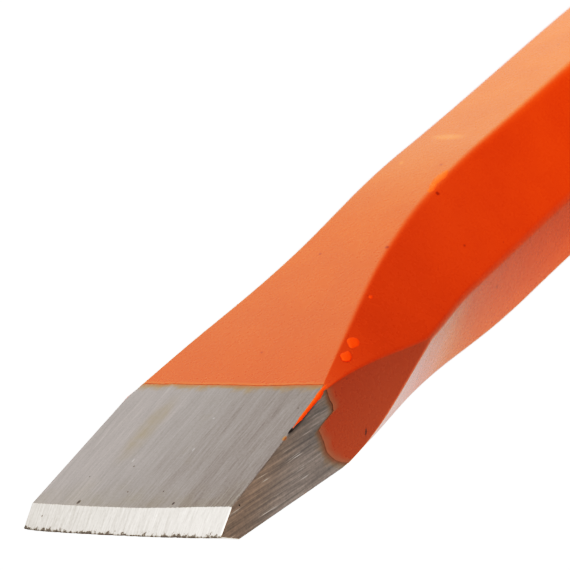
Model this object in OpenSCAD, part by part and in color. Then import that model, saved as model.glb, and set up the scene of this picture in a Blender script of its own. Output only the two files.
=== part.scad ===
// Flat cold chisel: one forged bar of hexagonal tool steel with a ground wedge blade,
// and the lacquer coat on its shank.
// X runs from the cutting edge to the striking face, Y across the blade, Z up.
// The chisel lies on a flat of its shank. The origin is on that flat, midway along the tool.

/* [Bar] */
// Width of the hexagonal bar across its flats
across_flats = 17; // [16:0.5:18]
// Length from the cutting edge to the striking face
overall_length = 200; // [170:5:260]

/* [Blade] */
// Length of the cutting edge, which is the width of the blade
edge_width = 20; // [19:0.5:23]
// Thickness of the tiny flat left along the cutting edge
edge_land = 0.1; // [0.06:0.02:0.2]
// Length of the steep cutting bevel behind the edge
bevel_length = 2; // [1.6:0.1:3]
// Thickness of the blade where the cutting bevel ends
shoulder_thickness = 2.5; // [2:0.1:3]
// Angle between one broad face and the middle plane of the blade
wedge_angle = 8.2; // [7.6:0.1:9.6]
// Length over which a broad face rounds into the flat of the bar
crest_length = 15; // [8:1:24]
// Small flat on the blade's long corners and the bar's side corners
corner_break = 0.3; // [0.2:0.05:0.5]

/* [Side facets] */
// Distance from the cutting edge to the start of the sloping side facets
facet_start = 15.1; // [12:0.1:17]
// Length of the narrow side that remains between the facets
side_lobe_length = 16.3; // [14:0.1:19]
// How bluntly that narrow side closes
side_lobe_power = 1.25; // [0.8:0.05:1.4]
// Distance from the cutting edge at which a broad face has narrowed to the bar's flat
narrowing_end = 36; // [32:1:40]
// Length over which the narrowing eases out
narrowing_round = 15.5; // [6:0.5:20]
// Distance from the cutting edge at which the blade's flare starts to die out
flare_fade_start = 29; // [24:1:31]
// Distance from the cutting edge at which the flare is gone
flare_fade_end = 40.5; // [36:0.5:44]

/* [Neck] */
// Width across the flats at the neck, where forging has drawn the bar down
neck_across_flats = 15.4; // [15:0.1:16]
// Distance from the cutting edge at which the bar starts to swell to its full size
swell_start = 49; // [46:1:56]
// Distance from the cutting edge at which the bar has its full size
swell_end = 98; // [88:1:99]

/* [Head] */
// Length of the turned, tapered head
head_length = 16; // [12:1:20]
// Diameter of the striking end where its rounded rim begins
head_diameter = 15; // [12:0.5:16]
// Radius of the rim around the striking face
rim_radius = 1.5; // [1:0.1:2]

/* [Lacquer] */
// Thickness of the lacquer coat
coat_thickness = 0.15; // [0.1:0.01:0.3]
// Distance from the cutting edge to the lacquer's front border
coat_start = 16.4; // [14:0.2:22]
// Length of bare steel from the striking face to the lacquer's rear border
bare_head = 19; // [18:1:24]

/* [Hidden] */
steel_colour = [0.66, 0.65, 0.63];
lacquer_colour = [0.92, 0.35, 0.12];
$fn = 96;
axis_height = across_flats / 2 + coat_thickness;
half_flats = across_flats / 2;
corner_radius = half_flats / cos(30);
neck_half_flats = neck_across_flats / 2;
neck_corner_radius = neck_half_flats / cos(30);
neck_flat_half_width = neck_half_flats * tan(30);
// Where a straight broad face would meet the plane of the neck's flat
crest = bevel_length + (neck_half_flats - shoulder_thickness / 2) / tan(wedge_angle);
bar_start = max(crest + crest_length / 2, swell_end);
station_step = 1.2;
// Radius of the turning envelope where its cone begins, outside the bar's corners
clear_radius = corner_radius + 1;
rim_steps = 8;

// Share of the way from one distance to another, held between 0 and 1
function share(x, from, to) = max(0, min(1, (x - from) / (to - from)));

// Straight slope from one point to another that rounds off to level around the second
function eased_slope(x, x0, y0, x1, y1, round_length) =
    let (slope = (y1 - y0) / (x1 - x0))
    let (level_from = x1 + round_length / 2)
    x < x1 - round_length / 2 ? y0 + slope * (x - x0) :
    x < level_from ? y1 - slope * (level_from - x) ^ 2 / (2 * round_length) :
        y1;

// How far the flats stand out from the neck's flats as the bar swells to its full size
function swell(x) =
    (half_flats - neck_half_flats) * (1 - cos(180 * share(x, swell_start, swell_end))) / 2;

// Half the thickness between the broad faces: steep bevel, straight wedge, rounded crest,
// neck and swelling bar
function half_thickness(x) =
    x < bevel_length ?
        edge_land / 2 + (shoulder_thickness - edge_land) / 2 * x / bevel_length :
        eased_slope(x, bevel_length, shoulder_thickness / 2, crest, neck_half_flats, crest_length)
            + swell(x);

// Half the width over the blade's narrow sides, and over the bar's side corners further back
function half_width(x) =
    let (gone = (1 - cos(180 * share(x, flare_fade_start, flare_fade_end))) / 2)
    edge_width / 2 + (neck_corner_radius - edge_width / 2) * gone + swell(x) / cos(30);

// Half the width of a broad face, narrowing from the whole blade to the flat of the bar
function face_half_width(x) =
    x < facet_start ? edge_width / 2 :
        eased_slope(x, facet_start, edge_width / 2, narrowing_end, neck_flat_half_width,
                    narrowing_round)
            + swell(x) * tan(30);

// Half the height of the narrow side, shrinking to the corner of the bar
function side_half_height(x) =
    let (closed = share(x, facet_start, facet_start + side_lobe_length))
    x < facet_start ? half_thickness(x) :
        half_thickness(facet_start) * max(0, cos(90 * closed)) ^ side_lobe_power;

// Section corners as [y, z] around the axis, grown outward by the thickness of a coat
function section(x, grow = 0) =
    let (w = half_width(x))
    let (t = half_thickness(x))
    let (brk = min(corner_break, t / 2))
    let (g = min(face_half_width(x), w - brk))
    let (s = max(min(side_half_height(x), t - brk), brk))
    let (slope = atan2(w - g, t - s))
    let (face_y = g + grow * tan((90 - slope) / 2))
    let (side_z = s + grow * tan(slope / 2))
    [[face_y, t + grow], [-face_y, t + grow], [-w - grow, side_z], [-w - grow, -side_z],
     [-face_y, -t - grow], [face_y, -t - grow], [w + grow, -side_z], [w + grow, side_z]];

// Stations along the curved stretch between two distances, with both ends
function stations(from, to) =
    let (steps = ceil((to - from) / station_step))
    [for (i = [0:steps]) from + (to - from) * i / steps];

// Solid through the sections at the given stations
module loft(along, grow = 0) {
    sides = 8;
    last = len(along) - 1;
    points = [for (x = along) for (p = section(x, grow)) [x, p[0], p[1]]];
    front = [[for (k = [0:sides - 1]) k]];
    back = [[for (k = [sides - 1:-1:0]) last * sides + k]];
    skin = [for (i = [0:last - 1]) for (k = [0:sides - 1])
        let (next = (k + 1) % sides)
        for (corners = [
            [i * sides + k, (i + 1) * sides + k, (i + 1) * sides + next],
            [i * sides + k, (i + 1) * sides + next, i * sides + next]])
        corners];
    polyhedron(points = points, faces = concat(front, back, skin));
}

// Straight bar of constant section between two distances from the cutting edge
module bar(from, to, grow = 0) {
    translate([from, 0, 0])
        rotate([90, 0, 90])
            linear_extrude(height = to - from)
                polygon(section(bar_start, grow));
}

// Turned envelope of the shank's end: clear of the bar, then a cone and a rounded rim
module turned_envelope() {
    rim = [for (i = [0:rim_steps])
        let (turn = 90 * i / rim_steps)
        [head_diameter / 2 - rim_radius * (1 - cos(turn)),
         overall_length - rim_radius * (1 - sin(turn))]];
    rotate([0, 90, 0])
        rotate_extrude()
            polygon(concat(
                [[0, 0], [clear_radius, 0], [clear_radius, overall_length - head_length]],
                rim,
                [[0, overall_length]]));
}

module placed() {
    translate([-overall_length / 2, 0, axis_height]) children();
}

// The bar itself: blade, shank and head are one piece of steel
module steel_forging() {
    color(steel_colour) placed() {
        loft(concat([0, bevel_length], stations(facet_start, bar_start)));
        intersection() {
            bar(bar_start, overall_length);
            turned_envelope();
        }
    }
}

// Thin closed sleeve of lacquer over the blade's root and the shank
module lacquer_coat() {
    color(lacquer_colour) placed() {
        difference() {
            loft(stations(coat_start, bar_start), coat_thickness);
            loft(stations(coat_start, bar_start));
        }
        difference() {
            bar(bar_start, overall_length - bare_head, coat_thickness);
            bar(bar_start, overall_length - bare_head);
        }
    }
}

steel_forging();
lacquer_coat();
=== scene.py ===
import math
import random

import bpy
from mathutils import Matrix, Vector, noise


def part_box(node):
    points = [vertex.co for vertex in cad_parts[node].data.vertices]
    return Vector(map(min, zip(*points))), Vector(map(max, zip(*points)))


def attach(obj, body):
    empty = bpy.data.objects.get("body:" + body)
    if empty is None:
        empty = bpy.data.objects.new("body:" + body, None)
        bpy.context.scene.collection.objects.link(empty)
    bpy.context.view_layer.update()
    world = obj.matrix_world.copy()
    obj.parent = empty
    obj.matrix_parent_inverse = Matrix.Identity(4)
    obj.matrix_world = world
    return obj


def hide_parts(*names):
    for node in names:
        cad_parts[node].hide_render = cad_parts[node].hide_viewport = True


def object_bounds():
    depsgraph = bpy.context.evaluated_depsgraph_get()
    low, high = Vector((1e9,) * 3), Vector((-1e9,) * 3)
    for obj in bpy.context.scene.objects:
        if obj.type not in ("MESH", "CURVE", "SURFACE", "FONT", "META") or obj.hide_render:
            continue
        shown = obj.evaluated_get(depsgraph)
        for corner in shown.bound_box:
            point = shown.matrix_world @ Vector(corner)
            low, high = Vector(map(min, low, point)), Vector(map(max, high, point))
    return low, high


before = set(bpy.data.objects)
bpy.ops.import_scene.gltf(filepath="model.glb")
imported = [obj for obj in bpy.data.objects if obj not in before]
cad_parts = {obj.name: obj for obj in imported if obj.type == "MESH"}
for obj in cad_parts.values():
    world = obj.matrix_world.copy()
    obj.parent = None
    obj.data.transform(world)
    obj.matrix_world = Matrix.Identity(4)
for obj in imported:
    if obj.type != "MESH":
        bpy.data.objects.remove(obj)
cad_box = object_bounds()

# Cold chisel: a ground, forged steel bar and its orange lacquer coat.
# Shapes are worked out in millimetres, with x measured from the cutting edge towards the head
# and y, z measured from the bar's axis. place() turns them into the frame's metres.

MM = 0.001
steel_low, steel_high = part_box("steel_forging")
coat_low, coat_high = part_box("lacquer_coat")

EDGE = Vector((steel_low.x, 0.0, (steel_low.z + steel_high.z) / 2))
LENGTH = (steel_high.x - steel_low.x) / MM
HALF_BLADE = (steel_high.y - steel_low.y) / 2 / MM
HALF_FLATS = (steel_high.z - steel_low.z) / 2 / MM
COAT = (coat_high.z - steel_high.z) / MM
COAT_FRONT = (coat_low.x - steel_low.x) / MM
COAT_REAR = (coat_high.x - steel_low.x) / MM

# The bar and its neck, as in the CAD source
TAN_30 = math.tan(math.radians(30))
COS_30 = math.cos(math.radians(30))
CORNER = HALF_FLATS / COS_30
NECK_HALF_FLATS = 7.7
SWELL = (49.0, 98.0)

# The blade, as in the CAD source
EDGE_LAND = 0.1
BEVEL = 2.0
SHOULDER = 2.5
WEDGE = math.tan(math.radians(8.2))
CREST = BEVEL + (NECK_HALF_FLATS - SHOULDER / 2) / WEDGE
CREST_ROUND = 15.0
FACET_START = 15.1
LOBE_LENGTH = 16.3
LOBE_POWER = 1.25
NARROWING_END = 36.0
NARROWING_ROUND = 15.5
FLARE_FADE = (29.0, 40.5)
LONG_CORNER = 0.06

# The head
HEAD_LENGTH = 16.0
HEAD_RADIUS = 7.5
RIM = 1.5

# Columns around a quarter of the section
FACE_COLUMNS = 58
ARC_COLUMNS = 4
SLOPE_COLUMNS = 12
SIDE_COLUMNS = 20


def clamp(value, low=0.0, high=1.0):
    return max(low, min(high, value))


def share(value, start, end):
    """Share of the way from start to end, held between 0 and 1."""
    return clamp((value - start) / (end - start))


def smooth(value, start, end):
    """Like share, with a soft start and end."""
    s = share(value, start, end)
    return s * s * (3 - 2 * s)


def eased_slope(x, x0, y0, x1, y1, round_length):
    """Straight slope from one point to another that rounds off to level around the second."""
    slope = (y1 - y0) / (x1 - x0)
    level_from = x1 + round_length / 2
    if x < x1 - round_length / 2:
        return y0 + slope * (x - x0)
    if x < level_from:
        return y1 - slope * (level_from - x) ** 2 / (2 * round_length)
    return y1


def eased(value, start, end):
    """Like share, as half a wave of a cosine."""
    return (1 - math.cos(math.pi * share(value, start, end))) / 2


def swell(x):
    """How far the flats stand out from the neck's flats as the bar grows to its full size."""
    return (HALF_FLATS - NECK_HALF_FLATS) * eased(x, *SWELL)


def half_thickness(x):
    if x < BEVEL:
        return EDGE_LAND / 2 + (SHOULDER - EDGE_LAND) / 2 * max(x, 0) / BEVEL
    return eased_slope(x, BEVEL, SHOULDER / 2, CREST, NECK_HALF_FLATS, CREST_ROUND) + swell(x)


def half_width(x):
    flare_gone = eased(x, *FLARE_FADE)
    return HALF_BLADE + (NECK_HALF_FLATS / COS_30 - HALF_BLADE) * flare_gone + swell(x) / COS_30


def face_half_width(x):
    if x < FACET_START:
        return HALF_BLADE
    neck_flat = NECK_HALF_FLATS * TAN_30
    narrowed = eased_slope(x, FACET_START, HALF_BLADE, NARROWING_END, neck_flat, NARROWING_ROUND)
    return narrowed + swell(x) * TAN_30


def side_half_height(x):
    if x < FACET_START:
        return half_thickness(x)
    closed = share(x, FACET_START, FACET_START + LOBE_LENGTH)
    return half_thickness(FACET_START) * max(0.0, math.cos(math.pi / 2 * closed)) ** LOBE_POWER


def corner_radius(x):
    """Rounding of the section's corners: crisp on the ground blade, soft on the forged bar."""
    softened = 0.04 + 0.42 * smooth(x, 15, 27) + 0.69 * smooth(x, 28, 90)
    return min(softened, half_thickness(x) / 3)


def quarter(x, grow):
    """A quarter of the section, from the middle of the top face to the middle of the side.

    Each point is (y, z, part), where part is 0 on the broad face, 1 on the sloping facet
    and 2 on the narrow side."""
    w, t = half_width(x), half_thickness(x)
    cut = min(LONG_CORNER, t / 2)
    g = min(face_half_width(x), w - cut)
    s = max(min(side_half_height(x), t - cut), 0.02)
    length = math.hypot(w - g, t - s)
    ny, nz = (t - s) / length, (w - g) / length
    r = corner_radius(x)
    c = ny * g + nz * t - r
    top = ((c - nz * (t - r)) / ny, t - r)
    low_z = (c - ny * (w - r)) / nz
    side = (w - r, low_z)
    if low_z < 0.05:
        side = ((c - nz * 0.05) / ny, 0.05)
    full = r + grow
    slope_turn = math.atan2(nz, ny)
    points = []
    for i in range(FACE_COLUMNS):
        points.append((top[0] * i / FACE_COLUMNS, top[1] + full, 0))
    for i in range(ARC_COLUMNS):
        turn = math.pi / 2 + (slope_turn - math.pi / 2) * i / ARC_COLUMNS
        points.append((top[0] + full * math.cos(turn), top[1] + full * math.sin(turn), 0.5))
    for i in range(SLOPE_COLUMNS):
        u = eased(i, 0, SLOPE_COLUMNS)
        points.append((
            top[0] + (side[0] - top[0]) * u + full * ny,
            top[1] + (side[1] - top[1]) * u + full * nz,
            1))
    for i in range(ARC_COLUMNS):
        turn = slope_turn * (1 - i / ARC_COLUMNS)
        points.append((side[0] + full * math.cos(turn), side[1] + full * math.sin(turn), 1.5))
    for i in range(SIDE_COLUMNS + 1):
        points.append((side[0] + full, side[1] * (1 - i / SIDE_COLUMNS), 2))
    return points


QUARTER_COLUMNS = FACE_COLUMNS + 2 * ARC_COLUMNS + SLOPE_COLUMNS + SIDE_COLUMNS
COLUMNS = 4 * QUARTER_COLUMNS
_rings = {}


def ring(x, grow=0.0):
    """The whole section as (y, z, part, around), starting at the top and going towards +y."""
    key = (round(x, 6), round(grow, 6))
    if key not in _rings:
        q = quarter(x, grow)
        around = [0.0]
        for a, b in zip(q, q[1:]):
            around.append(around[-1] + math.hypot(b[0] - a[0], b[1] - a[1]))
        half = [(y, z, part, s) for (y, z, part), s in zip(q, around)]
        lower = [(y, -z, part, 2 * around[-1] - s) for y, z, part, s in reversed(half[:-1])]
        right = half + lower
        left = [(-y, z, part, -s) for y, z, part, s in reversed(right[1:-1])]
        _rings[key] = right + left
    return _rings[key]


def head_radius(x):
    """Radius of the turned envelope that trims the bar's corners at the head."""
    start, rim_start = LENGTH - HEAD_LENGTH, LENGTH - RIM
    if x < rim_start:
        return CORNER + 1 + (HEAD_RADIUS - CORNER - 1) * share(x, start, rim_start)
    return HEAD_RADIUS - RIM * (1 - math.sqrt(max(0.0, 1 - ((x - rim_start) / RIM) ** 2)))


def place(x, y, z):
    return EDGE + Vector((x, y, z)) * MM


def grid_faces(rows, columns, offset=0, closed=True, flip=False):
    """Quads over rows of points; each row closes on itself when closed is set."""
    faces = []
    for i in range(rows - 1):
        for k in range(columns if closed else columns - 1):
            n = (k + 1) % columns
            a, b = offset + i * columns + k, offset + i * columns + n
            quad = (a, b, b + columns, a + columns)
            faces.append(quad[::-1] if flip else quad)
    return faces


def make_mesh(name, points, faces, values):
    """A smooth-shaded mesh object in the frame, with the named numbers kept at each point."""
    mesh = bpy.data.meshes.new(name)
    mesh.from_pydata([tuple(p) for p in points], [], faces)
    for key, numbers in values.items():
        mesh.attributes.new(key, "FLOAT", "POINT").data.foreach_set("value", numbers)
    mesh.validate()
    mesh.polygons.foreach_set("use_smooth", [True] * len(mesh.polygons))
    mesh.update()
    obj = bpy.data.objects.new(name, mesh)
    bpy.context.scene.collection.objects.link(obj)
    return obj


# ---------------------------------------------------------------- the lacquer's borders

# Distances from the cutting edge at which the lacquer starts
TOP_BORDER = COAT_FRONT + 0.2
NEAR_SIDE_BORDER = 13.95
FAR_SIDE_BORDER = 14.7
# How much further back it starts on the upper part of each narrow side
NEAR_SIDE_STEP = 2.3
FAR_SIDE_STEP = 1.4
# How much further back it starts at the lower corners of the narrow sides
LOWER_CORNER_RISE = 1.9
# Slant of the top border towards the far side, and where along y it begins
TOP_SLANT = 0.042
SLANT_FROM = -3.5


def wander(position, size, seed):
    """Smooth noise between about -1 and 1 along a line."""
    return noise.noise(Vector((position / size, seed * 7.31, 0.5 * seed)))


def front_border(section):
    """Distance from the cutting edge at which the lacquer starts on one column."""
    y, z, part, around = section
    if part < 1:
        slant = TOP_SLANT * max(y - SLANT_FROM, 0.0)
        ragged = 0.06 * wander(y, 2.0, 1 + (z < 0)) + 0.03 * wander(y, 0.5, 5)
        return TOP_BORDER + slant + ragged
    rise = LOWER_CORNER_RISE * share(-z, 0.9, 3.0) ** 2.2
    if y < 0:
        step = NEAR_SIDE_STEP * smooth(z, 1.0, 1.22)
        ragged = 0.12 * wander(z, 0.7, 4) + 0.05 * wander(z, 0.25, 6)
        return NEAR_SIDE_BORDER + rise + step + ragged
    step = FAR_SIDE_STEP * smooth(z, 0.4, 2.8)
    return FAR_SIDE_BORDER + rise + step + 0.25 * wander(z, 0.9, 8)


def lacquer_borders():
    """Front border of every column; the columns of a sloping facet blend between its neighbours."""
    section = ring(COAT_FRONT - 1.5)
    borders = [None if s[2] == 1 else front_border(s) for s in section]
    for k, s in enumerate(section):
        if s[2] == 1:
            before = next(i for i in range(1, COLUMNS) if section[k - i][2] != 1)
            after = next(i for i in range(1, COLUMNS) if section[(k + i) % COLUMNS][2] != 1)
            a, b = borders[k - before], borders[(k + after) % COLUMNS]
            borders[k] = a + (b - a) * before / (before + after)
    return borders


def rear_border(section):
    return COAT_REAR - 0.25 + 0.22 * wander(section[3], 4.0, 9) + 0.06 * wander(section[3], 0.8, 11)


FRONT_BORDERS = lacquer_borders()
REAR_BORDERS = [rear_border(s) for s in ring(COAT_REAR - 1.0)]


# ---------------------------------------------------------------- the steel forging

def edge_nicks():
    """Small chips along the cutting edge, as (y, half width, depth)."""
    rng = random.Random(11)
    nicks = []
    for _ in range(34):
        y = rng.uniform(-HALF_BLADE, HALF_BLADE)
        nicks.append((y, rng.uniform(0.08, 0.3), rng.uniform(0.01, 0.05)))
    return nicks


def edge_shift(x, y, z):
    """The hand-ground edge is slightly bowed, and the bevel is a little wider at one end."""
    out = abs(y / HALF_BLADE)
    bow = 0.18 * out ** 2 + 0.15 * out ** 8
    skew = 0.22 * out ** 2 - 0.17 + 0.36 * smooth(-y, 0.0, HALF_BLADE)
    if z < 0:
        skew = 0.0
    return bow + (skew - bow) * share(x, 0, BEVEL) if x < BEVEL else skew * (1 - share(x, BEVEL, 8.0))


def nick_depth(y, nicks):
    ragged = 0.018 * abs(noise.noise(Vector((y * 6.0, 0.3, 0.7))))
    return ragged + sum(d * max(0.0, 1 - ((y - c) / w) ** 2) for c, w, d in nicks)


def spaced(start, end, step):
    count = max(1, round((end - start) / step))
    return [start + (end - start) * i / count for i in range(count)]


def steel_stations():
    near_edge = [0.0, 0.05, 0.12, 0.22, 0.35, 0.5]
    bevel = spaced(0.7, BEVEL - 0.06, 0.2) + [BEVEL - 0.05, BEVEL, BEVEL + 0.05]
    blade = spaced(BEVEL + 0.15, FACET_START, 0.4)
    taper = spaced(FACET_START, SWELL[1], 0.6)
    shank = spaced(SWELL[1], LENGTH - HEAD_LENGTH - 4, 2.0)
    head = spaced(LENGTH - HEAD_LENGTH - 4, LENGTH - RIM, 0.25)
    rim = [LENGTH - RIM * (1 - math.sin(math.pi / 2 * i / 8)) for i in range(9)]
    return near_edge + bevel + blade + taper + shank + head + rim


def narrowness(part):
    """1 on the narrow sides, 0 on the broad and the sloping faces."""
    return clamp(part * 2 - 3)


def steel_forging():
    nicks = edge_nicks()
    stations = steel_stations()
    points, along, border, narrow, turned = [], [], [], [], []
    for x in stations:
        limit = head_radius(x)
        for k, (y, z, part, s) in enumerate(ring(x)):
            reach = math.hypot(y, z)
            trim = min(1.0, limit / reach)
            chip = nick_depth(y, nicks) * (1 - share(x, 0, 0.5)) + edge_shift(x, y, z)
            lift = 0.006 * noise.noise(Vector((x * 0.12, s * 0.9, 2.0))) * (1 - share(x, 12, 15))
            ground = 1 + lift / max(reach, 1)
            points.append(place(x + chip, y * trim * ground, z * trim * ground))
            along.append(x)
            border.append(min(x - FRONT_BORDERS[k], REAR_BORDERS[k] - x))
            narrow.append(narrowness(part))
            turned.append(1.0 if trim < 1 else 0.0)
    rows = len(stations)
    for centre_share in (0.93, 0.8, 0.6, 0.4, 0.2, 0.06):
        points += struck_ring(points[(rows - 1) * COLUMNS:rows * COLUMNS], centre_share)
        along += [LENGTH] * COLUMNS
        border += [-9.0] * COLUMNS
        narrow += [0.0] * COLUMNS
        turned += [1.0] * COLUMNS
    total = len(points) // COLUMNS
    faces = grid_faces(total, COLUMNS, flip=True)
    faces.append(tuple(range(total * COLUMNS - 1, (total - 1) * COLUMNS - 1, -1)))
    faces += edge_land_faces()
    values = {"along": along, "border": border, "narrow": narrow, "turned": turned}
    return make_mesh("chisel_steel", points, faces, values)


def struck_ring(rim, centre_share):
    """One ring of the striking face, with the shallow dents that a hammer leaves."""
    rng = random.Random(5)
    dents = [(rng.uniform(-4, 4), rng.uniform(-4, 4), rng.uniform(0.8, 1.8)) for _ in range(7)]
    centre = place(LENGTH, 0, 0)
    points = []
    for p in rim:
        offset = (p - centre) * centre_share
        depth = sum(0.03 * max(0, 1 - math.hypot(offset.y / MM - y, offset.z / MM - z) / size)
                    for y, z, size in dents)
        points.append(centre + offset - Vector((depth * MM, 0, 0)))
    return points


def edge_land_faces():
    """The land along the cutting edge, between the upper and the lower row of its points."""
    top = list(range(QUARTER_COLUMNS, -1, -1)) + list(range(COLUMNS - 1, COLUMNS - QUARTER_COLUMNS, -1))
    bottom = list(range(QUARTER_COLUMNS, 3 * QUARTER_COLUMNS))
    faces = [(top[1], top[0], bottom[1])]
    for i in range(1, len(bottom) - 1):
        faces.append((top[i + 1], top[i], bottom[i], bottom[i + 1]))
    last = len(bottom) - 1
    faces.append((COLUMNS - QUARTER_COLUMNS, top[last], bottom[last]))
    return faces


# ---------------------------------------------------------------- the lacquer coat

def level_borders(reach):
    """The front border with its steps evened out over a number of columns on either side."""
    window = range(-reach, reach + 1)
    return [sum(FRONT_BORDERS[(k + i) % COLUMNS] for i in window) / len(window) for k in range(COLUMNS)]


def film_thickness(x, around, into):
    """Thickness of the film: it feathers out at its border and is slightly uneven."""
    feather = 0.1 + 0.9 * smooth(into, -1.5, 7.0)
    peel = noise.noise(Vector((x * 0.9, around * 0.9, 4.0))) * 0.015
    sag = noise.noise(Vector((x * 0.12, around * 0.2, 8.0))) * 0.06
    return COAT * (feather * (0.93 + peel + sag))


def lacquer_coat():
    merge_front, merge_rear = 19.0, COAT_REAR - 2.5
    even_front = level_borders(14)
    front_steps = [0.0, 0.02, 0.05, 0.09, 0.14, 0.2, 0.27, 0.35, 0.45, 0.56, 0.68, 0.8, 0.9]
    rear_steps = [0.12, 0.3, 0.5, 0.68, 0.8, 0.88, 0.94, 0.98, 1.0]
    middle = spaced(merge_front, SWELL[1], 0.6) + spaced(SWELL[1], merge_rear, 2.0) + [merge_rear]
    rows = [("front", u) for u in front_steps] + [("middle", x) for x in middle]
    rows += [("rear", u) for u in rear_steps]
    outer, inner, along, border, narrow = [], [], [], [], []
    for kind, value in rows:
        for k in range(COLUMNS):
            if kind == "front":
                x = FRONT_BORDERS[k] + (merge_front - FRONT_BORDERS[k]) * value
            elif kind == "rear":
                x = merge_rear + (REAR_BORDERS[k] - merge_rear) * value
            else:
                x = value
            y, z, p, s = ring(x)[k]
            into = min(x - FRONT_BORDERS[k], REAR_BORDERS[k] - x)
            thick = film_thickness(x, s, min(x - even_front[k], REAR_BORDERS[k] - x + 3))
            out = ring(x, COAT)[k]
            f = thick / COAT
            outer.append(place(x, y + (out[0] - y) * f, z + (out[1] - z) * f))
            inner.append(place(x, y - (out[0] - y) * 0.15, z - (out[1] - z) * 0.15))
            along.append(x)
            border.append(into)
            narrow.append(narrowness(p))
    count, total = len(rows), len(outer)
    faces = grid_faces(count, COLUMNS, flip=True)
    faces += grid_faces(count, COLUMNS, offset=total)
    for k in range(COLUMNS):
        n = (k + 1) % COLUMNS
        faces.append((k, n, total + n, total + k))
        a, b = total - COLUMNS + k, total - COLUMNS + n
        faces.append((b, a, total + a, total + b))
    values = {"along": along * 2, "border": border * 2, "narrow": narrow * 2}
    coat_object = make_mesh("chisel_lacquer", outer + inner, faces, values)
    coat_object.data.set_sharp_from_angle(angle=math.radians(50))
    return coat_object


# ---------------------------------------------------------------- drops of lacquer

# Drops by place (x, y, z), then length along the bar, width, height and shape number
DROPS = (
    (22.7, -8.5, 3.75, 1.55, 1.05, 0.09, 1.0),
    (20.75, -9.15, 3.35, 1.4, 0.95, 0.09, 2.0),
    (46.5, -4.0, 7.5, 3.6, 1.15, 0.1, 3.0),
    (44.8, -4.25, 7.2, 1.6, 0.75, 0.09, 4.0),
    (28.8, -6.95, 5.0, 0.5, 0.35, 0.08, 7.0),
)

# Runs along the blade's upper corners: start and end, side (-1 near, 1 far) and greatest radius
CORNER_RUNS = (
    (11.3, 17.0, -1, 0.2),
    (14.2, 17.8, 1, 0.05),
)


def surface_point(x, around):
    """Point on the lacquer and its outward direction, at a signed distance round the section."""
    section = ring(x, COAT)
    nearest = min(range(COLUMNS), key=lambda k: abs(section[k][3] - around))
    a, b = section[nearest - 1], section[(nearest + 1) % COLUMNS]
    t = (around - a[3]) / (b[3] - a[3]) if b[3] != a[3] else 0.5
    y, z = a[0] + (b[0] - a[0]) * t, a[1] + (b[1] - a[1]) * t
    out = Vector((0, a[1] - b[1], b[0] - a[0])).normalized()
    return Vector((x, y, z)), out if out.dot(Vector((0, y, z))) > 0 else -out


def add_drop(points, faces, x, around, length, width, height, seed):
    """A flattened dome with an uneven outline, lying on the coat."""
    rings, spokes = 7, 28
    first = len(points)
    for i in range(rings + 1):
        out_share = 1 - i / rings
        for k in range(spokes):
            turn = 2 * math.pi * k / spokes
            uneven = 1 + 0.28 * noise.noise(Vector((math.cos(turn) * 1.1, math.sin(turn) * 1.1, seed)))
            dx = length / 2 * math.cos(turn) * out_share * uneven
            ds = width / 2 * math.sin(turn) * out_share * uneven
            base, out = surface_point(x + dx, around + ds)
            rise = height * math.sqrt(max(0.0, 1 - out_share ** 2)) - 0.04
            points.append(place(*(base + out * rise)))
    faces += grid_faces(rings + 1, spokes, offset=first)
    last = first + rings * spokes
    faces.append(tuple(range(last, last + spokes)))
    faces.append(tuple(range(first + spokes - 1, first - 1, -1)))


def add_corner_run(points, faces, start, end, side, greatest_radius):
    """Lacquer that crept along one of the blade's upper corners and ends in a ragged tip."""
    steps, spokes = 70, 12
    first = len(points)
    for i in range(steps + 1):
        x = start + (end - start) * i / steps
        fullness = smooth(i / steps, 0.0, 0.2) * (1 - 0.5 * smooth(i / steps, 0.85, 1.0))
        lumps = 1 + 0.22 * wander(x, 0.45, 21) + 0.15 * wander(x, 0.15, 22)
        swelling = 0.5 + 0.5 * share(x, 12.0, 16.0)
        radius = max(0.02, greatest_radius * swelling * fullness * lumps)
        y = (half_width(x) + min(face_half_width(x), half_width(x) - LONG_CORNER)) / 2 - 0.45 * radius
        z = (half_thickness(x) + min(side_half_height(x), half_thickness(x) - LONG_CORNER)) / 2
        z -= 0.55 * radius
        for k in range(spokes):
            turn = 2 * math.pi * k / spokes
            points.append(place(x, side * (y + radius * math.cos(turn)), z + radius * math.sin(turn)))
    last = first + steps * spokes
    tube = grid_faces(steps + 1, spokes, offset=first, flip=True)
    tube.append(tuple(range(first + spokes - 1, first - 1, -1)))
    tube.append(tuple(range(last, last + spokes)))
    faces += tube if side > 0 else [face[::-1] for face in tube]


def lacquer_drops():
    points, faces = [], []
    for start, end, side, radius in CORNER_RUNS:
        add_corner_run(points, faces, start, end, side, radius)
    for x, y, z, length, width, height, seed in DROPS:
        section = ring(x, COAT)
        around = min(section, key=lambda s: math.hypot(s[0] - y, s[1] - z))[3]
        add_drop(points, faces, x, around, length, width, height, seed)
    return make_mesh("lacquer_drops", points, faces, {})


# ---------------------------------------------------------------- materials

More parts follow.
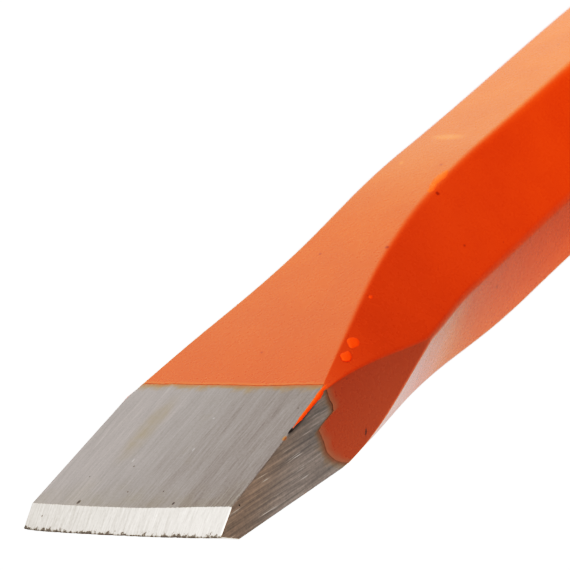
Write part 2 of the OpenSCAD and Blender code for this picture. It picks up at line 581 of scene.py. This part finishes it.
class Nodes:
    """Short calls for building a shader node tree."""

    def __init__(self, tree):
        self.tree = tree
        tree.nodes.clear()

    def add(self, kind, **settings):
        node = self.tree.nodes.new(kind)
        for key, value in settings.items():
            setattr(node, key, value)
        return node

    def link(self, value, socket):
        if isinstance(value, bpy.types.NodeSocket):
            self.tree.links.new(value, socket)
        else:
            socket.default_value = value

    def math(self, operation, a, b=0.0):
        node = self.add("ShaderNodeMath", operation=operation)
        for value, socket in zip((a, b), node.inputs):
            self.link(value, socket)
        return node.outputs[0]

    def step(self, value, low, high, out_low=0.0, out_high=1.0):
        """Soft step from out_low to out_high as the value goes from low to high."""
        node = self.add("ShaderNodeMapRange", interpolation_type="SMOOTHSTEP")
        for key, number in zip(("Value", "From Min", "From Max", "To Min", "To Max"),
                               (value, low, high, out_low, out_high)):
            self.link(number, node.inputs[key])
        return node.outputs["Result"]

    def mix(self, factor, a, b):
        node = self.add("ShaderNodeMix", data_type="RGBA")
        self.link(factor, node.inputs["Factor"])
        self.link(a, node.inputs[6])
        self.link(b, node.inputs[7])
        return node.outputs[2]

    def attribute(self, name):
        return self.add("ShaderNodeAttribute", attribute_name=name).outputs["Fac"]

    def vector(self, x, y, z):
        node = self.add("ShaderNodeCombineXYZ")
        for value, socket in zip((x, y, z), node.inputs):
            self.link(value, socket)
        return node.outputs[0]

    def noise(self, vector, scale, detail=2.0, roughness=0.5):
        node = self.add("ShaderNodeTexNoise")
        self.link(vector, node.inputs["Vector"])
        node.inputs["Scale"].default_value = scale
        node.inputs["Detail"].default_value = detail
        node.inputs["Roughness"].default_value = roughness
        return node.outputs["Fac"]

    def millimetres(self):
        """x from the cutting edge and y, z from the axis, in millimetres."""
        offset = self.add("ShaderNodeVectorMath", operation="SUBTRACT")
        self.link(self.add("ShaderNodeTexCoord").outputs["Object"], offset.inputs[0])
        offset.inputs[1].default_value = EDGE
        scaled = self.add("ShaderNodeVectorMath", operation="SCALE")
        self.link(offset.outputs[0], scaled.inputs[0])
        scaled.inputs["Scale"].default_value = 1 / MM
        split = self.add("ShaderNodeSeparateXYZ")
        self.link(scaled.outputs[0], split.inputs[0])
        return split.outputs

    def slanted(self, u, v, degrees):
        """v measured from lines that fall by some degrees as u grows."""
        return self.math("ADD", v, self.math("MULTIPLY", u, math.tan(math.radians(degrees))))

    def streaks(self, u, v, length, width, seed, detail, roughness):
        """Noise drawn out along u."""
        stretched = self.vector(self.math("DIVIDE", u, length), self.math("DIVIDE", v, width), seed)
        return self.noise(stretched, 1.0, detail, roughness)

    def blend(self, factor, a, b):
        """A number between a and b."""
        return self.math("ADD", self.math("MULTIPLY", self.math("SUBTRACT", 1.0, factor), a),
                         self.math("MULTIPLY", factor, b))

    def weigh(self, *layers):
        """1 plus the layers' departures from their middle, each times its weight."""
        total = 1.0
        for value, weight in layers:
            total = self.math("ADD", total, self.math("MULTIPLY", self.math("SUBTRACT", value, 0.5), weight))
        return total

    def scale(self, color, level):
        node = self.add("ShaderNodeVectorMath", operation="SCALE")
        self.link(color if isinstance(color, bpy.types.NodeSocket) else color[:3], node.inputs[0])
        self.link(level, node.inputs["Scale"])
        return node.outputs[0]

    def spot(self, u, v, u0, v0, u_reach, v_reach):
        """1 in the middle of a soft oval patch, 0 outside it."""
        du = self.math("DIVIDE", self.math("SUBTRACT", u, u0), u_reach)
        dv = self.math("DIVIDE", self.math("SUBTRACT", v, v0), v_reach)
        squares = self.math("ADD", self.math("MULTIPLY", du, du), self.math("MULTIPLY", dv, dv))
        reach = self.math("SQRT", squares)
        return self.step(reach, 1.0, 0.3)

    def specks3(self, x, y, z, scale, size, share_of_cells):
        """Small dots scattered at random, in a share of the cells of a random pattern."""
        node = self.add("ShaderNodeTexVoronoi", feature="F1")
        self.link(self.vector(x, y, z), node.inputs["Vector"])
        node.inputs["Scale"].default_value = scale
        pick = self.add("ShaderNodeSeparateXYZ")
        self.link(node.outputs["Color"], pick.inputs[0])
        dot_size = self.math("MULTIPLY", pick.outputs[1], size)
        dot = self.math("LESS_THAN", node.outputs["Distance"], dot_size)
        return self.math("MULTIPLY", dot, self.math("GREATER_THAN", pick.outputs[0], share_of_cells))

    def specks(self, u, v, scale, size, share_of_cells):
        return self.specks3(u, v, 0.0, scale, size, share_of_cells)

    def bump(self, height, distance, strength):
        node = self.add("ShaderNodeBump")
        self.link(height, node.inputs["Height"])
        node.inputs["Distance"].default_value = distance
        node.inputs["Strength"].default_value = strength
        return node.outputs["Normal"]


def rgb(red, green, blue):
    return (red, green, blue, 1.0)


# Bare steel
TOP_STEEL = rgb(0.290, 0.266, 0.252)
TOP_STEEL_WARM = rgb(0.283, 0.258, 0.234)
BEVEL_STEEL = rgb(0.62, 0.585, 0.54)
# Painted shade: the narrow sides' steel is a little darker than the top
SIDE_STEEL = rgb(0.278, 0.252, 0.234)
SIDE_STEEL_BROWN = rgb(0.264, 0.220, 0.184)
HEAD_STEEL = rgb(0.34, 0.315, 0.295)
HEAD_STEEL_LIGHT = rgb(0.44, 0.41, 0.385)

# Marks on the steel
STAIN = rgb(0.30, 0.25, 0.185)
PIT = rgb(0.05, 0.043, 0.038)
TOP_SCRATCH = rgb(0.6, 0.58, 0.55)
SIDE_SCRATCH = rgb(0.6, 0.58, 0.56)
TOP_SPECK = rgb(0.12, 0.105, 0.095)
BEVEL_SPECK = rgb(0.2, 0.18, 0.16)
SIDE_SPECK = rgb(0.07, 0.055, 0.045)
EDGE_GRIME = rgb(0.11, 0.092, 0.078)
# Painted shadow under the lacquer runs on the narrow sides
RUN_SHADOW = rgb(0.06, 0.04, 0.03)
CORNER_DASH = rgb(0.03, 0.018, 0.012)
CORNER_DOT = rgb(0.42, 0.22, 0.1)

# The lacquer's border, on the steel's side and on the lacquer's side
OLIVE_FILM = rgb(0.325, 0.235, 0.145)
OLIVE_FILM_SIDE = rgb(0.28, 0.215, 0.15)
TAN_FILM = rgb(0.38, 0.16, 0.07)
TAN_FILM_SIDE = rgb(0.25, 0.12, 0.065)
THIN_LACQUER = rgb(0.44, 0.122, 0.03)

# Lacquer and the marks on it
LACQUER = rgb(0.63, 0.096, 0.0019)
LACQUER_LIGHT = rgb(0.69, 0.107, 0.0025)
# Painted shade: the darker lacquer colour used towards the blade
LACQUER_SHADED_TOWARDS_BLADE = rgb(0.33, 0.073, 0.013)
# Painted shade: the darker lacquer colour on the narrow sides' lobes
LACQUER_SHADED_LOBE = rgb(0.225, 0.053, 0.004)
LACQUER_SCRATCH = rgb(0.82, 0.20, 0.035)
LACQUER_NICK = rgb(0.06, 0.012, 0.003)
LACQUER_DIRT = rgb(0.12, 0.02, 0.002)
DROP = rgb(0.74, 0.088, 0.0005)
DROP_LIGHT = rgb(0.80, 0.112, 0.001)
PALE_DROP = rgb(0.74, 0.125, 0.024)
PALE_DROP_LIGHT = rgb(0.80, 0.145, 0.03)

# Pits on the top of the blade, as (x, y, radius)
PITS = (
    (6.6, 2.6, 0.1),
    (2.3, 5.1, 0.22),
    (2.5, -4.4, 0.15),
    (5.3, 6.3, 0.08),
    (3.8, -2.5, 0.08),
)
# Bright scratches on the top of the blade, as (x, y, length, width)
TOP_SCRATCHES = (
    (12.5, -1.4, 0.14, 0.14),
    (7.3, 3.2, 0.3, 0.12),
    (8.7, -2.0, 0.3, 0.1),
)
# Scratches in the lacquer on the bar's upper flat, as (x, y, reach along, reach across)
FLAT_SCRATCHES = (
    (55.9, 0.4, 0.8, 2.6),
    (50.2, 2.5, 0.45, 0.25),
)


def new_material(name):
    material = bpy.data.materials.new(name)
    material.use_nodes = True
    nodes = Nodes(material.node_tree)
    output = nodes.add("ShaderNodeOutputMaterial")
    shader = nodes.add("ShaderNodeBsdfPrincipled")
    nodes.link(shader.outputs[0], output.inputs["Surface"])
    return material, nodes, shader


def broad_steel(n, x, y):
    """Ground top and bottom of the blade: long fine streaks, soft bands, stains and specks."""
    bent = n.math("ADD", y, n.math("MULTIPLY", n.noise(n.vector(x, y, 3.0), 0.12, 1.0), 0.5))
    fine = n.streaks(x, bent, 5.0, 0.22, 1.0, 3.0, 0.75)
    crossed = n.streaks(x, n.slanted(x, bent, 3.0), 3.0, 0.14, 2.0, 3.0, 0.7)
    bands = n.streaks(x, n.slanted(x, bent, -2.0), 16.0, 1.3, 3.0, 2.0, 0.6)
    light = n.step(n.streaks(x, n.slanted(x, bent, 2.0), 6.0, 0.13, 4.0, 2.0, 0.5), 0.64, 0.76)
    dark = n.step(n.streaks(x, n.slanted(x, bent, -3.0), 5.0, 0.12, 5.0, 2.0, 0.5), 0.65, 0.78)
    grain = n.noise(n.vector(x, y, 6.0), 5.0, 3.0, 0.7)
    level = n.weigh((fine, 0.44), (crossed, 0.34), (bands, 0.26), (grain, 0.32))
    level = n.math("ADD", level, n.math("MULTIPLY", light, 0.2))
    level = n.math("ADD", level, n.math("MULTIPLY", dark, -0.16))
    # Painted sheen: the broad faces are made darker towards the near side and brighter towards the far side
    level = n.math("ADD", level, n.step(y, -9.0, 9.0, -0.13, 0.14))
    warm = n.math("ADD", n.noise(n.vector(x, y, 8.0), 0.45, 3.0, 0.6), n.step(x, 6.0, 2.0, -0.3, 0.12))
    tone = n.mix(n.step(warm, 0.25, 0.75), TOP_STEEL, TOP_STEEL_WARM)
    tone = n.scale(tone, level)
    stain = n.math("MULTIPLY", n.spot(x, y, 11.3, 4.6, 5.4, 1.5), n.noise(n.vector(x, y, 9.0), 0.9, 3.0))
    tone = n.mix(n.math("MULTIPLY", stain, 0.8), tone, STAIN)
    for px, py, radius in PITS:
        pit = n.spot(x, y, px, py, radius * 1.5, radius)
        tone = n.mix(n.math("MULTIPLY", pit, 0.65), tone, PIT)
    for px, py, length, width in TOP_SCRATCHES:
        scratch = n.spot(x, y, px, py, length, width)
        tone = n.mix(n.math("MULTIPLY", scratch, 0.35), tone, TOP_SCRATCH)
    tone = n.mix(n.specks(x, y, 0.8, 0.075, 0.72), tone, TOP_SPECK)
    dash = n.spot(x, y, 11.0, -9.95, 0.5, 0.1)
    dot = n.spot(x, y, 10.1, -9.95, 0.35, 0.22)
    tone = corner_marks(n, tone, dash, dot)
    height = n.weigh((fine, 0.8), (crossed, 0.5), (grain, 0.2))
    return tone, height


def bevel_steel(n, x, y):
    """Freshly ground bevel: bright, streaked from edge to shoulder, grubby along the edge."""
    fine = n.streaks(x, n.slanted(x, y, 3.0), 2.6, 0.2, 11.0, 3.0, 0.7)
    crossed = n.streaks(x, n.slanted(x, y, -6.0), 1.6, 0.14, 12.0, 3.0, 0.6)
    grain = n.noise(n.vector(x, y, 13.0), 4.0, 3.0, 0.7)
    level = n.weigh((fine, 0.75), (crossed, 0.5), (grain, 0.4))
    # Painted sheen: the bevel is made brighter towards the near side and darker towards the far side
    level = n.math("ADD", level, n.step(y, 9.0, -9.0, -0.05, 0.06))
    tone = n.scale(BEVEL_STEEL, level)
    blotch = n.noise(n.vector(n.math("MULTIPLY", x, 0.8), y, 14.0), 2.4, 4.0, 0.75)
    reach = n.step(blotch, 0.42, 0.72, 0.0, 0.4)
    grime = n.step(n.math("SUBTRACT", reach, x), -0.08, 0.08)
    tone = n.mix(n.math("MULTIPLY", grime, 0.8), tone, EDGE_GRIME)
    tone = n.mix(n.specks(x, y, 0.7, 0.07, 0.75), tone, BEVEL_SPECK)
    return tone, n.weigh((fine, 0.9), (crossed, 0.6), (grain, 0.3))


def side_steel(n, x, z):
    """Narrow sides: a little darker as painted shade, and browner, with coarse scratches that run slightly
    downhill and a painted shadow just below the lacquer runs along the upper corners.
    """
    run = n.slanted(x, z, 8.7)
    fine = n.streaks(x, run, 6.0, 0.2, 21.0, 3.0, 0.75)
    coarse = n.streaks(x, n.slanted(x, z, 7.0), 9.0, 0.8, 22.0, 2.0, 0.6)
    light = n.step(n.streaks(x, run, 4.0, 0.15, 23.0, 2.0, 0.5), 0.58, 0.76)
    where = n.noise(n.vector(n.math("MULTIPLY", x, 0.5), run, 24.0), 0.5, 2.0)
    light = n.math("MULTIPLY", light, n.step(where, 0.42, 0.62))
    grain = n.noise(n.vector(x, z, 25.0), 4.5, 3.0, 0.7)
    level = n.weigh((fine, 0.95), (coarse, 0.7), (grain, 0.35))
    tip = n.step(n.math("SUBTRACT", x, n.math("MULTIPLY", z, 2.0)), 12.0, 2.0)
    tone = n.mix(tip, SIDE_STEEL, SIDE_STEEL_BROWN)
    tone = n.scale(tone, level)
    tone = n.mix(n.math("MULTIPLY", light, 0.65), tone, SIDE_SCRATCH)
    tone = n.mix(n.specks(x, z, 0.9, 0.08, 0.7), tone, SIDE_SPECK)
    # Painted shadow: a dark band on the narrow sides just below the lacquer runs
    below_corner = n.math("SUBTRACT", n.math("MULTIPLY", x, WEDGE), z)
    painted_run_shadow = n.math("MULTIPLY", n.step(below_corner, -0.5, -0.85), n.spot(x, z, 13.2, 2.8, 3.0, 3.0))
    tone = n.mix(n.math("MULTIPLY", painted_run_shadow, 0.7), tone, RUN_SHADOW)
    dash = n.spot(x, z, 11.0, 2.53, 0.6, 0.16)
    dot = n.spot(x, z, 10.1, 2.4, 0.35, 0.2)
    tone = corner_marks(n, tone, dash, dot)
    return tone, n.weigh((fine, 1.0), (light, -0.5), (grain, 0.3))


def corner_marks(n, tone, dash, dot):
    """A dark dash and a tan dot where the lacquer on the blade's near corner peters out."""
    tone = n.mix(n.math("MULTIPLY", dash, 0.85), tone, CORNER_DASH)
    return n.mix(n.math("MULTIPLY", dot, 0.8), tone, CORNER_DOT)


def head_steel(n, x, y, z):
    """Turned head: fine rings around the axis, grey-brown from handling."""
    rings = n.noise(n.vector(n.math("MULTIPLY", x, 6.0), n.math("MULTIPLY", y, 0.1), 31.0), 1.0, 3.0, 0.6)
    cloud = n.noise(n.vector(x, y, z), 0.35, 4.0, 0.6)
    level = n.weigh((rings, 0.7), (cloud, 0.9))
    tone = n.mix(cloud, HEAD_STEEL, HEAD_STEEL_LIGHT)
    return n.scale(tone, level), rings


def steel_material():
    material, n, shader = new_material("ground_steel")
    x, y, z = n.millimetres()
    along, border = n.attribute("along"), n.attribute("border")
    narrow = n.step(n.attribute("narrow"), 0.1, 0.9)
    turned = n.step(n.attribute("turned"), 0.1, 0.9)
    broad, broad_height = broad_steel(n, x, y)
    bevel, bevel_height = bevel_steel(n, along, y)
    side, side_height = side_steel(n, x, z)
    head, head_height = head_steel(n, x, y, z)
    ragged = n.math("MULTIPLY", n.noise(n.vector(n.math("MULTIPLY", x, 0.2), y, 41.0), 6.0, 2.0), 0.14)
    on_bevel = n.step(n.math("ADD", along, ragged), BEVEL + 0.1, BEVEL + 0.04)
    tone = n.mix(on_bevel, broad, bevel)
    tone = n.mix(narrow, tone, side)
    tone = n.mix(turned, tone, head)
    height = n.blend(turned, n.blend(narrow, n.blend(on_bevel, broad_height, bevel_height), side_height),
                     head_height)
    mottle = n.noise(n.vector(x, n.math("ADD", y, z), 42.0), 0.9, 4.0, 0.65)
    film_reach = n.step(narrow, 0.0, 1.0, -1.2, -1.6)
    film = n.step(border, n.math("MULTIPLY", film_reach, n.step(mottle, 0.2, 0.8, 0.3, 1.4)), 0.15)
    olive = n.mix(narrow, OLIVE_FILM, OLIVE_FILM_SIDE)
    film_tone = n.mix(n.step(border, -0.7, 0.1), olive, border_tone(n, narrow, TAN_FILM))
    tone = n.mix(n.math("MULTIPLY", film, 0.9), tone, film_tone)
    n.link(tone, shader.inputs["Base Color"])
    n.link(n.step(border, -0.4, 0.1, 1.0, 0.6), shader.inputs["Metallic"])
    shader.inputs["Roughness"].default_value = 0.5
    n.link(n.bump(height, 0.000006, 0.7), shader.inputs["Normal"])
    return material


def border_tone(n, narrow, broad_tone):
    """Colour where lacquer and steel meet; on the narrow sides it is the same in both materials."""
    return n.mix(narrow, broad_tone, TAN_FILM_SIDE)


def lacquer_tone(n, x, y, z, along, narrow):
    """The coat is darkened towards the blade and on the narrow sides' lobes as painted shade, and made a
    touch lighter on the top flat past the crease as painted light.
    """
    cloud = n.noise(n.vector(x, y, z), 0.22, 2.0, 0.5)
    tone = n.mix(n.step(cloud, 0.3, 0.7), LACQUER, LACQUER_LIGHT)
    # Painted shade: the coat darkens more and more towards the blade
    tone = n.mix(n.step(along, 95.0, 15.0, 0.0, 0.72), tone, LACQUER_SHADED_TOWARDS_BLADE)
    # Painted shade on the narrow sides' lobes near the blade
    shaded_lobe = n.math("MULTIPLY", narrow, n.step(along, 34.0, 28.0))
    tone = n.mix(n.math("MULTIPLY", shaded_lobe, 0.65), tone, LACQUER_SHADED_LOBE)
    on_top = n.math("MULTIPLY", n.step(n.math("ABSOLUTE", y), 4.4, 4.1), n.step(z, 0.0, 1.0))
    # Painted light: the top flat past the crease is made a touch lighter
    lit_past_crease = n.step(n.slanted(y, x, 16.0), 45.9, 47.0)
    tone = n.scale(tone, n.blend(n.math("MULTIPLY", on_top, lit_past_crease), 1.0, 1.01))
    for px, py, along_reach, across_reach in FLAT_SCRATCHES:
        place_on_flat = n.spot(n.slanted(y, x, -12.0), y, px, py, along_reach, across_reach)
        scratch = n.math("MULTIPLY", place_on_flat, on_top)
        tone = n.mix(n.math("MULTIPLY", scratch, 0.5), tone, LACQUER_SCRATCH)
    nick = n.math("MULTIPLY", n.spot(n.slanted(z, x, -32.0), z, 20.25, -2.15, 0.17, 0.36), narrow)
    return n.mix(n.math("MULTIPLY", nick, 0.9), tone, LACQUER_NICK)


def lacquer_material():
    material, n, shader = new_material("orange_lacquer")
    x, y, z = n.millimetres()
    along, border = n.attribute("along"), n.attribute("border")
    narrow = n.step(n.attribute("narrow"), 0.6, 1.0)
    tone = lacquer_tone(n, x, y, z, along, narrow)
    mottle = n.noise(n.vector(x, y, z), 0.9, 4.0, 0.65)
    thin_reach = n.step(narrow, 0.0, 1.0, 0.35, 1.15)
    reach = n.math("MULTIPLY", thin_reach, n.step(mottle, 0.2, 0.8, 0.6, 1.3))
    thin = n.math("MULTIPLY", n.step(border, reach, -0.1), 0.95)
    tone = n.mix(thin, tone, border_tone(n, narrow, THIN_LACQUER))
    dirt = n.specks3(x, y, z, 0.42, 0.085, 0.6)
    tone = n.mix(n.math("MULTIPLY", dirt, 0.6), tone, LACQUER_DIRT)
    n.link(tone, shader.inputs["Base Color"])
    n.link(n.blend(thin, n.step(mottle, 0.3, 0.7, 0.26, 0.29), 0.32), shader.inputs["Roughness"])
    shader.inputs["IOR"].default_value = 1.5
    peel = n.noise(n.vector(x, y, z), 0.55, 1.0)
    n.link(n.bump(peel, 0.000008, 0.1), shader.inputs["Normal"])
    return material


def drop_material():
    """Thick lacquer in drops and runs, brighter than the coat, and paler on the shank."""
    material, n, shader = new_material("thick_lacquer")
    x, y, z = n.millimetres()
    cloud = n.noise(n.vector(x, y, z), 2.5, 3.0, 0.6)
    thick = n.mix(cloud, DROP, DROP_LIGHT)
    pale = n.mix(cloud, PALE_DROP, PALE_DROP_LIGHT)
    n.link(n.mix(n.step(x, 30.0, 40.0), thick, pale), shader.inputs["Base Color"])
    shader.inputs["Roughness"].default_value = 0.45
    shader.inputs["Specular IOR Level"].default_value = 0.2
    n.link(n.bump(cloud, 0.00001, 0.4), shader.inputs["Normal"])
    return material


# ---------------------------------------------------------------- stage, light and camera

def floor_material():
    """Plain white to the camera. The light it sends back to the chisel is fainter, and it fades
    towards the near side and, in the lacquer's reflection, towards the head."""
    material = bpy.data.materials.new("white_sweep")
    material.use_nodes = True
    n = Nodes(material.node_tree)
    output = n.add("ShaderNodeOutputMaterial")
    emission = n.add("ShaderNodeEmission")
    n.link(rgb(1, 1, 1), emission.inputs["Color"])
    path = n.add("ShaderNodeLightPath")
    split = n.add("ShaderNodeSeparateXYZ")
    n.link(n.add("ShaderNodeNewGeometry").outputs["Position"], split.inputs[0])
    near_side = n.step(split.outputs["Y"], FLOOR_FADE_Y[0], FLOOR_FADE_Y[1], *FLOOR_BOUNCE)
    past_blade = n.step(split.outputs["X"], FLOOR_FADE_X[1], FLOOR_FADE_X[0], *FLOOR_MIRRORED)
    direct = n.math("MULTIPLY", path.outputs["Is Camera Ray"], SHEET_WHITE)
    mirrored = n.math("MULTIPLY", path.outputs["Is Glossy Ray"], past_blade)
    bounced = n.math("MULTIPLY", path.outputs["Is Diffuse Ray"], near_side)
    n.link(n.math("ADD", direct, n.math("ADD", mirrored, bounced)), emission.inputs["Strength"])
    n.link(emission.outputs[0], output.inputs["Surface"])
    return material


# Brightness of what the camera sees behind and under the chisel
SHEET_WHITE = 1.02
# The floor's light on the matt and on the glossy surfaces, weakest and strongest
FLOOR_REACH = 3.0
FLOOR_BOUNCE = (0.02, 1.2)
FLOOR_MIRRORED = (0.36, 0.95)
# Where the two kinds of light fade
FLOOR_FADE_Y = (EDGE.y - 0.028, EDGE.y - 0.013)
FLOOR_FADE_X = (EDGE.x + 0.025, EDGE.x + 0.075)


def build_floor():
    mesh = bpy.data.meshes.new("floor")
    corners = [(-FLOOR_REACH, -FLOOR_REACH, 0), (FLOOR_REACH, -FLOOR_REACH, 0),
               (FLOOR_REACH, FLOOR_REACH, 0), (-FLOOR_REACH, FLOOR_REACH, 0)]
    mesh.from_pydata(corners, [], [(0, 1, 2, 3)])
    floor = bpy.data.objects.new("floor", mesh)
    bpy.context.scene.collection.objects.link(floor)
    floor.location.z = cad_box[0].z - 0.0002
    mesh.materials.append(floor_material())


# Dim light from all round, and broad lights: direction, cosines at which each begins and is
# full, and strength
SURROUND = 0.224
LIGHTS = (
    ((0, 0.2, 0.98), 0.49, 0.89, 0.34),
    ((0.6, 0.66, 0.5), 0.6, 1.0, 0.72),
    ((-0.35, -0.70, 0.62), 0.29, 1.0, 1.84),
    ((-0.72, 0.6, 0.35), 0.35, 0.95, 0.4),
)


def build_world():
    """A soft studio of several broad lights over a dim surround, dark low on one side."""
    world = bpy.data.worlds.new("studio")
    bpy.context.scene.world = world
    world.use_nodes = True
    n = Nodes(world.node_tree)
    output = n.add("ShaderNodeOutputWorld")
    background = n.add("ShaderNodeBackground")
    n.link(rgb(1, 1, 1), background.inputs["Color"])
    direction = n.add("ShaderNodeTexCoord").outputs["Generated"]

    def towards(x, y, z):
        node = n.add("ShaderNodeVectorMath", operation="DOT_PRODUCT")
        n.link(direction, node.inputs[0])
        node.inputs[1].default_value = Vector((x, y, z)).normalized()
        return node.outputs["Value"]

    level = SURROUND
    for aim, soft_from, full_from, strength in LIGHTS:
        level = n.math("ADD", level, n.step(towards(*aim), soft_from, full_from, 0.0, strength))
    flag = n.step(towards(0.85, -0.5, 0.15), 0.68, 0.95, 1.0, 0.1)
    seen = n.add("ShaderNodeLightPath").outputs["Is Camera Ray"]
    n.link(n.blend(seen, n.math("MULTIPLY", level, flag), SHEET_WHITE), background.inputs["Strength"])
    n.link(background.outputs[0], output.inputs["Surface"])


# The camera's place from the middle of the cutting edge in millimetres, its angles and its lens
CAMERA_FROM_EDGE = (-88.22, -101.65, 59.88)
CAMERA_AZIMUTH = -48.608
CAMERA_ELEVATION = 18.975
CAMERA_ROLL = 19.353
CAMERA_LENS = 124.8
CAMERA_FSTOP = 200.0


def build_camera():
    """The camera sits low in front of the blade's near corner and is rolled to one side."""
    camera = bpy.data.objects.new("camera", bpy.data.cameras.new("camera"))
    bpy.context.scene.collection.objects.link(camera)
    camera.location = EDGE + Vector(CAMERA_FROM_EDGE) * MM
    a, e = math.radians(CAMERA_AZIMUTH), math.radians(CAMERA_ELEVATION)
    back = Vector((math.sin(a) * math.cos(e), -math.cos(a) * math.cos(e), math.sin(e)))
    level = (-back).to_track_quat("-Z", "Y").to_matrix()
    roll = Matrix.Rotation(math.radians(-CAMERA_ROLL), 3, "Z")
    camera.rotation_euler = (level @ roll).to_euler()
    camera.data.sensor_width = 36.0
    camera.data.lens = CAMERA_LENS
    camera.data.clip_start = 0.01
    camera.data.clip_end = 20.0
    focus = bpy.data.objects.new("focus", None)
    bpy.context.scene.collection.objects.link(focus)
    focus.location = place(4.0, -4.0, 1.0)
    camera.data.dof.use_dof = True
    camera.data.dof.focus_object = focus
    camera.data.dof.aperture_fstop = CAMERA_FSTOP
    bpy.context.scene.camera = camera


# Points of the print's tone curve, as (brightness in, brightness out)
TONE = ((0.1, 0.044), (0.3, 0.39), (0.6, 0.79))


def set_tone():
    """A contrasty print: shadows sink and mid tones lift."""
    view = bpy.context.scene.view_settings
    view.view_transform = "Standard"
    view.use_curve_mapping = True
    curve = view.curve_mapping.curves[3]
    for point in TONE:
        curve.points.new(*point)
    view.curve_mapping.update()


steel = steel_forging()
steel.data.materials.append(steel_material())
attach(steel, "root")
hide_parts("steel_forging")

coat = lacquer_coat()
coat.data.materials.append(lacquer_material())
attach(coat, "root")
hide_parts("lacquer_coat")

drops = lacquer_drops()
drops.data.materials.append(drop_material())
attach(drops, "root")

build_floor()
build_world()
build_camera()
set_tone()
